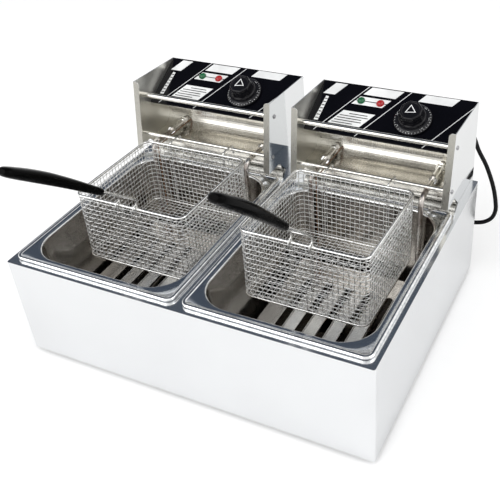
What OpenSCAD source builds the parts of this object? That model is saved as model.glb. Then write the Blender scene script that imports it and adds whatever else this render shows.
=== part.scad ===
// Twin-tank countertop electric fryer.
// Millimetres, +Z up, +X to the right, +Y to the back.
// The origin is on the surface that the fryer stands on, below the middle of its whole box,
// which reaches from the tips of the basket grips to the cord glands.

/* [Housing] */
// Width of the housing
body_w = 560; // [540:5:600]
// Depth of the housing, front to back
body_d = 440; // [430:5:460]
// Height of the housing without its feet
body_h = 164; // [158:1:180]
// Height of the rubber feet
foot_h = 6; // [4:1:12]
// Thickness of the folded sheet steel
sheet = 1.2; // [0.8:0.1:1.5]

/* [Tanks] */
// Distance between the middles of the two tanks
tank_pitch = 278; // [275:1:284]
// Outer width of a tank's rim
tank_w = 265; // [260:1:268]
// Outer length of a tank's rim, front to back
tank_l = 325; // [315:1:330]
// Depth of a tank below the deck
tank_depth = 143; // [100:1:148]
// Width of the flat rim round a tank's opening
rim_w = 12; // [10:1:14]
// Distance from the housing's front to the tank's rim
tank_gap = 10; // [8:1:12]

/* [Control heads] */
// Distance between the middles of the two heads
head_pitch = 286.8; // [284:0.2:290]
// Outer width of a head over its side plates
head_w = 250; // [240:1:254]
// Slope of the control panel, in degrees
panel_tilt = 27.8; // [20:0.2:32]
// Length of the control panel up its slope
panel_l = 94.6; // [90:0.2:98]
// Width of the turned-in front edge of a side plate
wing_flange = 10; // [8:0.5:12]

/* [Elements] */
// Outer diameter of the heating tube
tube_d = 8; // [6.5:0.5:8.5]
// Half the distance between the element's two legs
leg_half = 87; // [84:1:88]
// Height of the heating passes above the surface
loop_z = 44; // [40:1:50]

/* [Baskets] */
// Width of a basket
basket_w = 186; // [170:1:195]
// Length of a basket, front to back
basket_l = 182; // [170:1:190]
// Depth of a basket
basket_h = 108; // [90:1:115]
// Distance between the wires of the walls
mesh_pitch = 8; // [6:1:16]
// Diameter of the woven wires
mesh_wire = 1.2; // [1:0.1:1.6]
// Diameter of the frame wires
frame_wire = 4; // [3:0.5:5]
// How much the right basket hangs with its front up, in degrees
basket_lean = 2.8; // [0:0.2:4]

/* [Handles] */
// Slope of the right handle, in degrees
handle_rise = 39.5; // [32:0.5:45]
// How much lower the left handle sits in its hooks, in degrees
handle_sag = 3; // [0:0.5:5]
// Length of the bare handle wires
handle_wire_l = 64; // [50:1:90]
// Length of the moulded grip
grip_l = 182; // [120:1:185]
// Distance between the two handle wires at the basket
handle_gap = 30; // [20:1:36]

/* [Cord] */
// Diameter of the mains cord
cord_d = 7; // [6:0.5:8]

/* [Hidden] */
$fn = 48;

// Clearance between pieces of different bodies that only rest on each other.
gap = 0.3;
// The housing's middle, back from the origin.
mid_y = 18;
front_y = mid_y - body_d / 2;
rear_y = mid_y + body_d / 2;
deck_z = foot_h + body_h;

// Tanks
tank_y = front_y + tank_gap + tank_l / 2;
opening_w = tank_w - 2 * rim_w;
opening_l = tank_l - 2 * rim_w;
opening_r = 48;
tank_floor_z = deck_z - tank_depth;

// Control head: its profile in Y and Z, with Y counted from the housing's rear wall
wing_front_top = [-106.2, 303];
wing_front_foot = [-125.3, 190.5];
wing_rear_top = [11.7, 297.6];
head_rear_y = wing_rear_top[0];
head_foot_z = deck_z + gap;
lip_z = 150;
shelf_z = 194;
lip_r = 11.5;
lip_y = -71;
face_y = -24;
face_r = 25;
box_floor_z = shelf_z - 2 * lip_r;
panel_front = [-72.5, 253];
head_in = head_w / 2 - sheet;
lean_angle = atan2(wing_front_top[0] - wing_front_foot[0], wing_front_top[1] - wing_front_foot[1]);
lift_bar_d = 8;
lift_bar_yz = [-94.5, 276.5];
rod_d = 6;
rod_yz = [-109, 213];
panel_t = 1.5;
knob_at = [39, 45];
green_at = [-51, 65.5];
red_at = [-19.7, 65.5];
lamp_hole_d = 9;
spindle_d = 6;
fit_gap = 0.05;

// Element
leg_y = -131;
leg_lean = 2.5;
riser_z = 206;
bend_r = 12;
pass_pitch = 35;
pass_front = -372;
pass_rear = -152;

// Baskets: the middle of the rear rim, Y counted from the housing's rear wall, and their lean
basket_at = [[-144, -139, 217.2], [131, -138, 219]];
basket_leans = [basket_lean - 1.3, basket_lean];
corner_r = 12;
// Height of the woven walls' lower edge below the rim's middle line
wall_low = basket_h - (frame_wire - 1) / 2;
handle_y = -basket_l + frame_wire;
handle_z = 14;

// ---------- helpers ----------

module rrect(w, l, r) {
    square([w - 2 * r, l], center = true);
    square([w, l - 2 * r], center = true);
    for (sx = [-1, 1], sy = [-1, 1]) translate([sx * (w / 2 - r), sy * (l / 2 - r)]) circle(r);
}

module slab(w, l, r, z) {
    translate([0, 0, z]) linear_extrude(0.02) rrect(w, l, r);
}

// A folded sheet: a strip of thickness t along a line of points, mitred at its folds.
function side_of(a, b) = let (v = b - a) [-v[1], v[0]] / norm(v);
function mitred(p, i, d) =
    let (last = len(p) - 1, m = side_of(p[max(i - 1, 0)], p[max(i, 1)]),
         n = side_of(p[min(i, last - 1)], p[min(i + 1, last)]))
    p[i] + (m + n) * d / (1 + m * n);

module folded(points, t) {
    polygon(concat(
        [for (i = [0 : len(points) - 1]) mitred(points, i, t / 2)],
        [for (i = [len(points) - 1 : -1 : 0]) mitred(points, i, -t / 2)]));
}

// Draws a profile given in (y, z) as a solid along X, centred.
module along_x(w) {
    rotate([90, 0, 90]) translate([0, 0, -w / 2]) linear_extrude(w) children();
}

// A round bar between two points.
module bar(a, b, d) {
    v = b - a;
    translate(a) rotate([0, acos(v[2] / norm(v)), atan2(v[1], v[0])]) cylinder(h = norm(v), d = d);
}

// A quarter elbow of radius r about the Z axis, from +X towards +Y.
module elbow(r, d) {
    rotate_extrude(angle = 90) translate([r, 0]) circle(d = d);
}

// ---------- housing ----------

module housing_shell() {
    color("silver") difference() {
        translate([0, mid_y, foot_h]) linear_extrude(body_h) rrect(body_w, body_d, 3);
        translate([0, mid_y, foot_h - 1]) linear_extrude(body_h - sheet + 1)
            rrect(body_w - 2 * sheet, body_d - 2 * sheet, 2);
        for (s = [-1, 1]) translate([s * tank_pitch / 2, tank_y, deck_z - 5]) linear_extrude(10)
            rrect(opening_w + 8, opening_l + 8, opening_r + 2);
    }
}

module base_plate() {
    slots = 9;
    color("gainsboro") difference() {
        translate([0, mid_y, foot_h]) linear_extrude(sheet)
            rrect(body_w - 2 * sheet, body_d - 2 * sheet, 2);
        for (sx = [-1, 1], i = [0 : slots - 1])
            translate([sx * tank_pitch / 2, mid_y + (i - (slots - 1) / 2) * 22, foot_h - 1]) linear_extrude(5)
                rrect(90, 6, 2.99);
    }
}

module feet() {
    color("black") for (sx = [-1, 1], sy = [-1, 1])
        translate([sx * (body_w / 2 - 45), mid_y + sy * (body_d / 2 - 45), 0])
            rotate_extrude() polygon([[0, 0], [12, 0], [14, foot_h], [0, foot_h]]);
}

// A stiffening channel under the deck, between the tanks.
module centre_channel() {
    top = deck_z - sheet;
    color("darkgray") translate([0, rear_y - 6, 0]) rotate([90, 0, 0])
        linear_extrude(body_d - 12)
            folded([[-8, top - 30], [-8, top - sheet / 2], [8, top - sheet / 2], [8, top - 30]], sheet);
}

// ---------- tanks ----------

module tub(grow, floor_z, top_z) {
    hull() {
        slab(opening_w + 2 * grow, opening_l + 2 * grow, opening_r + grow, top_z);
        slab(opening_w - 16 + 2 * grow, opening_l - 14 + 2 * grow, opening_r - 4 + grow, floor_z + 14);
        slab(opening_w - 22 + 2 * grow, opening_l - 20 + 2 * grow, opening_r - 7 + grow, floor_z + 4);
        slab(opening_w - 38 + 2 * grow, opening_l - 36 + 2 * grow, opening_r - 15 + grow, floor_z);
    }
}

module tank(side) {
    rim_top = deck_z + 4;
    color("silver") translate([side * tank_pitch / 2, tank_y, 0]) {
        // rolled rim: outer skirt down to the deck, raised bead, flat inside it
        difference() {
            union() {
                translate([0, 0, deck_z]) linear_extrude(rim_top - deck_z) rrect(tank_w, tank_l, 12);
                translate([0, 0, rim_top]) linear_extrude(1.6) rrect(tank_w - 3, tank_l - 3, 10.5);
            }
            translate([0, 0, deck_z - 1]) linear_extrude(rim_top - deck_z) rrect(tank_w - 3, tank_l - 3, 10.5);
            translate([0, 0, rim_top]) linear_extrude(5) rrect(tank_w - 13, tank_l - 13, 9);
            translate([0, 0, deck_z - 2]) linear_extrude(10) rrect(opening_w, opening_l, opening_r);
        }
        difference() {
            tub(1, tank_floor_z, rim_top - 1);
            tub(0, tank_floor_z + 1, rim_top);
        }
    }
}

// ---------- control heads ----------

// Puts a head's piece in place: X from the head's middle, Y from the housing's rear wall.
module at_head(side) {
    translate([side * head_pitch / 2, rear_y, 0]) children();
}

module wing_profile() {
    polygon([
        wing_front_foot, wing_front_top, wing_rear_top,
        [head_rear_y, lip_z], [1, lip_z], [1, head_foot_z],
        [-70, head_foot_z], [-92, wing_front_foot[1] + 1]
    ]);
}

// The turned-in front edge, drawn flat: x across, y up the leaning edge.
module wing_edge(h) {
    r = 5;
    difference() {
        square([wing_flange, h]);
        for (y = [0, h]) translate([wing_flange, y]) square([2 * r, 2 * r], center = true);
    }
    for (y = [r, h - r]) translate([wing_flange - r, y]) circle(r);
}

module side_plates(side) {
    edge_h = norm(wing_front_top - wing_front_foot);
    color("gainsboro") at_head(side) for (s = [-1, 1]) {
        difference() {
            translate([s * (head_w - sheet) / 2, 0, 0]) along_x(sheet) wing_profile();
            for (p = [lift_bar_yz, rod_yz])
                translate([s * head_w / 2, p[0], p[1]]) rotate([0, 90, 0]) cylinder(h = 10, d = 4.2, center = true);
        }
        translate([s * head_w / 2, wing_front_foot[0], wing_front_foot[1]]) rotate([90 - lean_angle, 0, 0])
            mirror([s > 0 ? 1 : 0, 0, 0]) translate([0, 0, -sheet]) linear_extrude(sheet) wing_edge(edge_h);
    }
}

// Middle lines of the folded shell: the rear wall, and the floor, lip, shelf and curved face.
function arc_line(c, r, from, to, step) =
    [for (a = [from : (to > from ? 1 : -1) * step : to]) c + r * [cos(a), sin(a)]];
shell_line = [
    [head_rear_y - 12, wing_rear_top[1] - 9], [head_rear_y - sheet / 2, wing_rear_top[1] - 3],
    [head_rear_y - sheet / 2, lip_z]];
shell_floor = concat(
    [[head_rear_y - sheet / 2, box_floor_z]],
    arc_line([lip_y, shelf_z - lip_r], lip_r, 270, 90, 15),
    arc_line([face_y - face_r, shelf_z + face_r], face_r, -90, 0, 7.5),
    [[face_y, 222], [-48, 240], [panel_front[0] + 3, panel_front[1] - 3.5]]);

module head_shell(side) {
    color("silver") at_head(side) difference() {
        along_x(2 * head_in) {
            folded(shell_line, sheet);
            folded(shell_floor, sheet);
        }
        for (s = [-1, 1]) translate([s * leg_half, face_y, riser_z]) rotate([90, 0, 0])
            cylinder(h = 24, d = tube_d + 1, center = true);
        translate([100, head_rear_y, 228]) rotate([90, 0, 0]) cylinder(h = 12, d = 12.4, center = true);
    }
}

module on_panel(side) {
    at_head(side) translate([0, panel_front[0], panel_front[1]]) rotate([panel_tilt, 0, 0]) children();
}

module control_panel(side) {
    color([0.06, 0.06, 0.07]) on_panel(side) difference() {
        translate([-head_in, 0, -panel_t]) union() {
            cube([2 * head_in, panel_l, panel_t]);
            translate([0, 0, -2]) cube([2 * head_in, 1.2, 2]);
        }
        for (p = [green_at, red_at]) translate([p[0], p[1], -5]) cylinder(h = 10, d = lamp_hole_d);
        translate([knob_at[0], knob_at[1], -5]) cylinder(h = 10, d = 10.4);
    }
}

module lift_bar(side) {
    color("silver") at_head(side) translate([0, lift_bar_yz[0], lift_bar_yz[1]]) rotate([0, 90, 0])
        cylinder(h = 2 * head_in, d = lift_bar_d, center = true);
}

module basket_rod(side) {
    color("silver") at_head(side) translate([0, rod_yz[0], rod_yz[1]]) rotate([0, 90, 0])
        cylinder(h = 2 * head_in, d = rod_d, center = true);
}

module bar_screws(side) {
    color("dimgray") at_head(side) for (s = [-1, 1], p = [lift_bar_yz, rod_yz])
        translate([s * head_w / 2, p[0], p[1]]) rotate([0, s * 90, 0]) {
            cylinder(h = 1.6, d1 = 7, d2 = 5);
            translate([0, 0, -sheet]) cylinder(h = sheet, d = 4);
        }
}

module thermostat(side) {
    color("tan") on_panel(side) translate([knob_at[0], knob_at[1], 0]) {
        translate([-17, -19, -30]) cube([34, 38, 22]);
        translate([0, 0, -8]) cylinder(h = 8 - panel_t, d = 14);
        translate([0, 0, -panel_t]) cylinder(h = panel_t + 2.4, d = 9.6);
        translate([0, 0, 2.4]) cylinder(h = 13, d = spindle_d);
    }
}

module terminal_block(side) {
    color("white") at_head(side) translate([-50, -11, box_floor_z + sheet / 2]) difference() {
        translate([-24, -10, 0]) cube([48, 20, 17]);
        for (i = [-1 : 1]) translate([i * 15, 0, 6]) cylinder(h = 20, d = 6);
    }
}

module lamp(side, at, tint) {
    color(tint) on_panel(side) translate([at[0], at[1], 0]) {
        translate([0, 0, -14]) cylinder(h = 14, d = lamp_hole_d - 0.2);
        cylinder(h = 1.4, d = 12);
        translate([0, 0, 1.4]) intersection() {
            cylinder(h = 4, d = 10);
            translate([0, 0, -2.4]) sphere(5.6);
        }
    }
}

// An arc of tube in a plane of constant X, between two angles counted from +Y towards +Z.
module arc_yz(x, y, z, r, from, to, d) {
    translate([x, y, z]) rotate([90, 0, 90]) rotate(from) rotate_extrude(angle = to - from) translate([r, 0])
        circle(d = d);
}

// A half turn of tube in the plane of the passes, bulging towards +Y or -Y.
module turn_back(x, y, r, way) {
    translate([x, y, loop_z]) rotate(way > 0 ? 0 : 180) rotate_extrude(angle = 180) translate([r, 0])
        circle(d = tube_d);
}

// A pressed band on the element's tube, where a bend meets a straight stretch.
module band(x, y, z) {
    translate([x, y, z]) sphere(d = tube_d + 0.5);
}

// One end of the element: out of the face, over, down its leaning leg and forward to the passes.
module element_leg(x) {
    gap = 0.6;
    top = [leg_y + bend_r * cos(leg_lean), riser_z - bend_r];
    start = [leg_y, top[1] + bend_r * sin(leg_lean)];
    fall = (start[1] - loop_z - bend_r + bend_r * sin(leg_lean)) / cos(leg_lean);
    end = start - fall * [sin(leg_lean), cos(leg_lean)];
    low = [end[0] - bend_r * cos(leg_lean), loop_z + bend_r];
    step = gap * [sin(leg_lean), cos(leg_lean)];
    bar([x, face_y + 14, riser_z], [x, top[0] + gap, riser_z], tube_d);
    band(x, top[0], riser_z);
    arc_yz(x, top[0], top[1], bend_r, 90, 180 - leg_lean, tube_d);
    band(x, start[0], start[1]);
    bar([x, start[0] - step[0], start[1] - step[1]], [x, end[0] + step[0], end[1] + step[1]], tube_d);
    band(x, end[0], end[1]);
    arc_yz(x, low[0], low[1], bend_r, -90, -leg_lean, tube_d);
    band(x, low[0], loop_z);
    bar([x, pass_front + pass_pitch / 2, loop_z], [x, low[0] - gap, loop_z], tube_d);
    bar([x, face_y + 12, riser_z], [x, face_y + 20, riser_z], 3);
}

// One tube: two legs joined by six passes over the tank's floor.
module heating_element(side) {
    r = pass_pitch / 2;
    middle = leg_half - 2 * pass_pitch;
    color([0.35, 0.33, 0.32]) at_head(side) {
        for (s = [-1, 1]) {
            element_leg(s * leg_half);
            turn_back(s * (leg_half - r), pass_front + r, r, -1);
            bar([s * (leg_half - 2 * r), pass_front + r, loop_z], [s * (leg_half - 2 * r), pass_rear - r, loop_z], tube_d);
            turn_back(s * (leg_half - 3 * r), pass_rear - r, r, 1);
            bar([s * middle, pass_rear - r, loop_z], [s * middle, pass_front + middle, loop_z], tube_d);
        }
        turn_back(0, pass_front + middle, middle, -1);
    }
}

// On each riser: a hex nut and collar at the face, and a second nut near the shelf's edge.
module element_fittings(side) {
    color("silver") at_head(side) for (s = [-1, 1]) translate([s * leg_half, 0, riser_z]) rotate([90, 0, 0])
        difference() {
            union() {
                translate([0, 0, 35]) cylinder(h = 3, d = 15);
                translate([0, 0, 38]) cylinder(h = 6, d = 14, $fn = 6);
                translate([0, 0, 44]) cylinder(h = 26, d = 10.4);
                translate([0, 0, 70]) cylinder(h = 7, d = 14, $fn = 6);
            }
            cylinder(h = 200, d = tube_d, center = true);
        }
}

// The thermostat's sensing bulb between the middle passes, and its thin tube up beside the left leg.
module sensor_bulb(side) {
    x = -leg_half + 9;
    z = loop_z + tube_d / 2 + 2.5;
    color("peru") at_head(side) {
        bar([0, -260, loop_z], [0, -180, loop_z], 6);
        bar([0, -183, loop_z], [0, -160, z], 2);
        bar([0, -161, z], [0, leg_y - 6, z], 2);
        bar([0, leg_y - 6, z], [x, leg_y - 6, z], 2);
        bar([x, leg_y - 6, z], [x, leg_y, riser_z], 2);
        bar([x, leg_y, riser_z], [x, face_y - 4.6, riser_z], 2);
    }
}

// The plate over the element: slots with one raised edge each, and two turned-down sides.
module guard_plate(side) {
    w = 200;
    l = 252;
    top = loop_z + 16;
    slots = 5;
    slot_w = 11;
    slot_l = 190;
    color("silver") translate([side * head_pitch / 2, tank_y - 4, 0]) {
        difference() {
            translate([0, 0, top - sheet]) linear_extrude(sheet) rrect(w, l, 8);
            for (i = [0 : slots - 1]) translate([(i - (slots - 1) / 2) * 32, -13, top - 5]) linear_extrude(10)
                rrect(slot_w, slot_l, slot_w / 2 - 0.1);
        }
        for (i = [0 : slots - 1]) translate([(i - (slots - 1) / 2) * 32 - slot_w / 2 - 1.4, -13 - slot_l / 2 + 5, top])
            cube([1.4, slot_l - 10, 1.8]);
        for (s = [-1, 1]) translate([s > 0 ? w / 2 - sheet : -w / 2, -l / 2 + 20, tank_floor_z + 6])
            cube([sheet, l - 70, top - sheet - tank_floor_z - 6]);
    }
}

module cord_gland(side) {
    color([0.08, 0.08, 0.08]) at_head(side) translate([100, head_rear_y, 228]) rotate([-90, 0, 0])
        rotate_extrude() polygon([
            [0, -8], [6.1, -8], [6.1, 0], [9, 0], [9, 4], [6.6, 5], [4.6, 24], [0, 24]]);
}

module knob(side) {
    lobes = 8;
    color([0.07, 0.07, 0.08]) on_panel(side) translate([knob_at[0], knob_at[1], 0]) difference() {
        union() {
            translate([0, 0, 2.6]) cylinder(h = 2.6, d1 = 57, d2 = 55);
            translate([0, 0, 5.2]) cylinder(h = 6, d1 = 44, d2 = 41);
            difference() {
                translate([0, 0, 11.2]) cylinder(h = 14, d1 = 38, d2 = 35);
                for (i = [0 : lobes - 1]) rotate(i * 360 / lobes + 22.5) translate([25.5, 0, 12.8])
                    cylinder(h = 20, d = 17);
            }
            translate([0, 0, 25.2]) cylinder(h = 1.2, d1 = 30, d2 = 27);
        }
        translate([0, 0, 2]) cylinder(h = 14, d = spindle_d + 2 * fit_gap);
    }
}

// ---------- baskets ----------

module in_basket(side) {
    i = side > 0 ? 1 : 0;
    translate([0, rear_y, 0] + basket_at[i]) rotate([-basket_leans[i], 0, 0]) children();
}

// A closed ring of wire in the XY plane with rounded corners, from y = 0 back to y = -l.
module wire_ring(w, l, r, d) {
    for (s = [-1, 1]) {
        bar([s * w / 2, -r, 0], [s * w / 2, -l + r, 0], d);
        translate([s * (w / 2 - r), -r, 0]) rotate(s > 0 ? 0 : 90) elbow(r, d);
        translate([s * (w / 2 - r), -l + r, 0]) rotate(s > 0 ? -90 : 180) elbow(r, d);
    }
    for (y = [0, -l]) bar([-w / 2 + r, y, 0], [w / 2 - r, y, 0], d);
}

// A hook: up along the rear wall, back over the rod and down behind it.
module rod_hook(x, reach) {
    d = 3;
    r = 5;
    top = 1.5;
    y = (frame_wire + d) / 2;
    bar([x, y, -40], [x, y, top - r], d);
    translate([x, y + r, top - r]) rotate([90, 0, 90]) rotate(90) elbow(r, d);
    bar([x, y + r, top], [x, reach - r, top], d);
    translate([x, reach - r, top - r]) rotate([90, 0, 90]) elbow(r, d);
    bar([x, reach, top - r], [x, reach, top - 15], d);
}

module basket_frame(side) {
    reach = rod_yz[0] + rod_d / 2 + 3 - basket_at[side > 0 ? 1 : 0][1];
    color("silver") in_basket(side) {
        wire_ring(basket_w, basket_l, corner_r, frame_wire);
        translate([0, 0, -basket_h]) wire_ring(basket_w, basket_l, corner_r, frame_wire - 1);
        for (x = [-50, 50]) rod_hook(x, reach);
    }
}

// Heights of the level wires in a wall, counted from the wall's lower edge.
function levels() =
    let (h = wall_low - frame_wire / 2, n = floor((h - 3 * mesh_wire) / mesh_pitch))
    [for (i = [0 : n]) (h - n * mesh_pitch) / 2 + i * mesh_pitch];

// A wall of crossed wires, w wide, standing in the XZ plane and facing -Y.
// The level wires lie outside the upright ones and touch them.
module wire_wall(w) {
    n = floor(w / mesh_pitch);
    d = mesh_wire;
    translate([0, 0, -wall_low]) {
        for (i = [0 : n]) translate([(i - n / 2) * mesh_pitch, d / 2, 0])
            cylinder(h = wall_low - frame_wire / 2, d = d, $fn = 16);
        for (z = levels()) translate([-w / 2, -d / 2, z]) rotate([0, 90, 0]) cylinder(h = w, d = d, $fn = 16);
    }
}

// A wall across the basket. Its level wires go on round both of its corners as arcs, each a wire of
// its own that starts just clear of the straight one, so the space inside a corner stays open.
module end_wall() {
    w = basket_w - 2 * corner_r;
    r = corner_r + mesh_wire / 2;
    clear = 0.15 / r * 180 / PI;
    wire_wall(w);
    for (s = [0, 1], z = levels()) mirror([s, 0, 0]) translate([w / 2, corner_r, z - wall_low])
        rotate(clear - 90) rotate_extrude(angle = 90 - clear) translate([r, 0]) circle(d = mesh_wire, $fn = 16);
}

module mesh_front(side) {
    color("lightgray") in_basket(side) translate([0, -basket_l, 0]) end_wall();
}

module mesh_rear(side) {
    color("lightgray") in_basket(side) rotate(180) end_wall();
}

// A side wall of a basket: end is -1 for the wall on the left, 1 for the one on the right.
module mesh_side(side, end) {
    color("lightgray") in_basket(side) translate([end * basket_w / 2, -basket_l / 2, 0]) rotate(end * 90)
        wire_wall(basket_l - 2 * corner_r);
}

// How far a straight wire at offset p stops short of the edge of a plate with rounded corners.
function inset(p, half, r) = abs(p) > half - r ? r - sqrt(max(0, r * r - pow(abs(p) - half + r, 2))) : 0;

module mesh_bottom(side) {
    ring_d = frame_wire - 1;
    w = basket_w - ring_d;
    l = basket_l - ring_d;
    r = corner_r - ring_d / 2;
    nx = floor((w - 6) / mesh_pitch);
    ny = floor((l - 6) / mesh_pitch);
    d = mesh_wire;
    color("lightgray") in_basket(side) translate([0, -basket_l / 2, -basket_h]) {
        for (i = [0 : nx]) let (p = (i - nx / 2) * mesh_pitch, h = l - 2 * inset(p, w / 2, r))
            translate([p, h / 2, d / 2]) rotate([90, 0, 0]) cylinder(h = h, d = d, $fn = 16);
        for (i = [0 : ny]) let (p = (i - ny / 2) * mesh_pitch, h = w - 2 * inset(p, l / 2, r))
            translate([-h / 2, p, -d / 2]) rotate([0, 90, 0]) cylinder(h = h, d = d, $fn = 16);
    }
}

// The handle's frame: at its two bends, inside the middle of the front rim, tilted to its slope.
module at_handle(side) {
    in_basket(side) translate([0, handle_y, handle_z])
        rotate([-handle_rise + (side > 0 ? 0 : handle_sag), 0, 0]) children();
}

// Two wires: up inside the front wall, over towards the front, closer together in the grip.
module handle_wires(side) {
    d = 4;
    color("silver") {
        in_basket(side) for (s = [-1, 1]) translate([s * handle_gap / 2, handle_y, 0]) {
            bar([0, 0, -74], [0, 0, handle_z], d);
            bar([0, 0, 4], [0, -10, 4], 3);
            bar([0, -9, 5.5], [0, -9, -6], 3);
        }
        at_handle(side) {
            bar([-handle_gap / 2, 0, 0], [handle_gap / 2, 0, 0], 3);
            for (s = [-1, 1]) {
                translate([s * handle_gap / 2, 0, 0]) sphere(d = d + 0.2);
                bar([s * handle_gap / 2, 0, 0], [s * handle_gap / 4, -handle_wire_l, 0], d);
            }
        }
    }
}

// The grip's sections along its length: place, half width, half thickness and rise of its middle.
grip_sections = [
    [0, 8, 4.4, 0], [0.02, 10, 5.6, 0.2], [0.15, 11, 6.2, 1.2], [0.3, 11.8, 6.9, 2.2], [0.45, 12.4, 7.6, 2.8],
    [0.6, 12.8, 8.1, 3], [0.75, 12.6, 7.9, 2.4], [0.88, 11.9, 7.2, 1.4], [0.95, 10.8, 6.4, 0.8],
    [0.98, 9, 5.2, 0.5], [1, 5.5, 2.8, 0.4]
];
grip_sides = 24;
function super(a, power) = sign(a) * pow(abs(a), power);

// The grip: superellipse sections joined in order.
module grip(side) {
    n = len(grip_sections);
    points = [for (q = grip_sections, k = [0 : grip_sides - 1]) let (a = k * 360 / grip_sides)
        [q[1] * super(cos(a), 0.75), q[3] + q[2] * super(sin(a), 0.75), q[0] * grip_l]];
    faces = concat(
        [[for (k = [0 : grip_sides - 1]) k]],
        [for (i = [0 : n - 2], k = [0 : grip_sides - 1])
            let (a = i * grip_sides + k, b = i * grip_sides + (k + 1) % grip_sides)
            [a, a + grip_sides, b + grip_sides, b]],
        [[for (k = [grip_sides - 1 : -1 : 0]) (n - 1) * grip_sides + k]]);
    color([0.05, 0.05, 0.05]) at_handle(side) translate([0, -handle_wire_l, 0]) rotate([90, 0, 0])
        polyhedron(points, faces, convexity = 4);
}

// ---------- mains cord ----------

// The cord's route from its strain relief round the right end to the coil, points chosen by hand.
cord_route = [
    [243.4, 274, 228], [243.4, 284, 228], [245, 297, 223.5], [248, 306.5, 213.5], [252.5, 311, 200],
    [260, 311.5, 181], [276, 308, 156], [291, 302.5, 123], [298.5, 298.5, 94], [298.8, 296.7, 79.5],
    [294, 295, 67.5], [283.5, 293.5, 59], [270, 291.5, 55.5], [248, 288, 53.5], [223, 289, 41.5],
    [206, 296, 26.5], [191, 308, 12], [176, 319.5, 5], [158, 326.5, 3.5], [140, 327.5, 3.5]
];
coil_at = [140, 285.5];
coil_turn_r = 42;
tail_route = [[140, 327.5, 10.5], [124, 328, 10.5], [106, 326, 11], [88, 322, 11]];
plug_turn = 192.5;

function unit(v) = v / norm(v);
function spline(p, i, t) =
    let (a = p[max(i - 1, 0)], b = p[i], c = p[i + 1], e = p[min(i + 2, len(p) - 1)])
    0.5 * (2 * b + (c - a) * t + (2 * a - 5 * b + 4 * c - e) * t * t + (3 * b - a - 3 * c + e) * t * t * t);
function smooth(p, n) = concat(
    [for (i = [0 : len(p) - 2], k = [0 : n - 1]) spline(p, i, k / n)], [p[len(p) - 1]]);
function tangent(q, i) = unit(q[min(i + 1, len(q) - 1)] - q[max(i - 1, 0)]);

module tube(route, n, d, sides) {
    q = smooth(route, n);
    rings = len(q);
    points = [for (i = [0 : rings - 1])
        let (t = tangent(q, i), u = unit(cross(t, [0.31, 0.17, 0.93])), v = cross(t, u))
        for (k = [0 : sides - 1]) q[i] + d / 2 * (cos(k * 360 / sides) * u + sin(k * 360 / sides) * v)];
    faces = concat(
        [[for (k = [0 : sides - 1]) k]],
        [for (i = [0 : rings - 2], k = [0 : sides - 1])
            let (a = i * sides + k, b = i * sides + (k + 1) % sides) [a, a + sides, b + sides, b]],
        [[for (k = [sides - 1 : -1 : 0]) (rings - 1) * sides + k]]);
    polyhedron(points, faces, convexity = 10);
}

module mains_cord() {
    color([0.05, 0.05, 0.05]) tube(cord_route, 3, cord_d, 8);
}

module cord_coil() {
    color([0.05, 0.05, 0.05]) translate([coil_at[0], coil_at[1], 0])
        rotate_extrude() translate([coil_turn_r - cord_d - 3.5, 0]) square([2 * cord_d, 2 * cord_d]);
}

module cord_tail() {
    color([0.05, 0.05, 0.05]) tube(tail_route, 3, cord_d, 8);
}

module plug() {
    color([0.07, 0.07, 0.07]) translate(tail_route[3]) rotate([0, 0, plug_turn]) rotate([0, 90, 0]) {
        rotate_extrude() polygon([[0, 0], [5, 0], [6, 14], [0, 14]]);
        translate([0, 0, 14]) linear_extrude(22) rrect(22, 26, 6);
        for (y = [-6.35, 6.35]) translate([-2, y - 0.8, 36]) cube([6.5, 1.6, 16]);
        translate([-6, 0, 36]) cylinder(h = 18, d = 4.8);
    }
}

housing_shell();
base_plate();
feet();
centre_channel();
tank(-1);  // tank_left
tank(1);  // tank_right
head_shell(-1);  // left_head_shell
side_plates(-1);  // left_side_plates
control_panel(-1);  // left_control_panel
lift_bar(-1);  // left_lift_bar
basket_rod(-1);  // left_basket_rod
bar_screws(-1);  // left_bar_screws
thermostat(-1);  // left_thermostat
terminal_block(-1);  // left_terminal_block
lamp(-1, green_at, "green");  // left_green_lamp
lamp(-1, red_at, "red");  // left_red_lamp
heating_element(-1);  // left_heating_element
element_fittings(-1);  // left_element_fittings
sensor_bulb(-1);  // left_sensor_bulb
guard_plate(-1);  // left_guard_plate
cord_gland(-1);  // left_cord_gland
knob(-1);  // left_knob
head_shell(1);  // right_head_shell
side_plates(1);  // right_side_plates
control_panel(1);  // right_control_panel
lift_bar(1);  // right_lift_bar
basket_rod(1);  // right_basket_rod
bar_screws(1);  // right_bar_screws
thermostat(1);  // right_thermostat
terminal_block(1);  // right_terminal_block
lamp(1, green_at, "green");  // right_green_lamp
lamp(1, red_at, "red");  // right_red_lamp
heating_element(1);  // right_heating_element
element_fittings(1);  // right_element_fittings
sensor_bulb(1);  // right_sensor_bulb
guard_plate(1);  // right_guard_plate
cord_gland(1);  // right_cord_gland
knob(1);  // right_knob
basket_frame(-1);  // left_basket_frame
mesh_front(-1);  // left_mesh_front
mesh_rear(-1);  // left_mesh_rear
mesh_side(-1, -1);  // left_mesh_outer
mesh_side(-1, 1);  // left_mesh_inner
mesh_bottom(-1);  // left_mesh_bottom
handle_wires(-1);  // left_handle_wires
grip(-1);  // left_grip
basket_frame(1);  // right_basket_frame
mesh_front(1);  // right_mesh_front
mesh_rear(1);  // right_mesh_rear
mesh_side(1, 1);  // right_mesh_outer
mesh_side(1, -1);  // right_mesh_inner
mesh_bottom(1);  // right_mesh_bottom
handle_wires(1);  // right_handle_wires
grip(1);  // right_grip
mains_cord();
cord_coil();
cord_tail();
plug();
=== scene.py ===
"""Looks of a twin-tank countertop fryer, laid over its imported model."""
import logging
import math
from dataclasses import dataclass, field
from enum import Enum
from typing import Callable, Sequence

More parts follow.
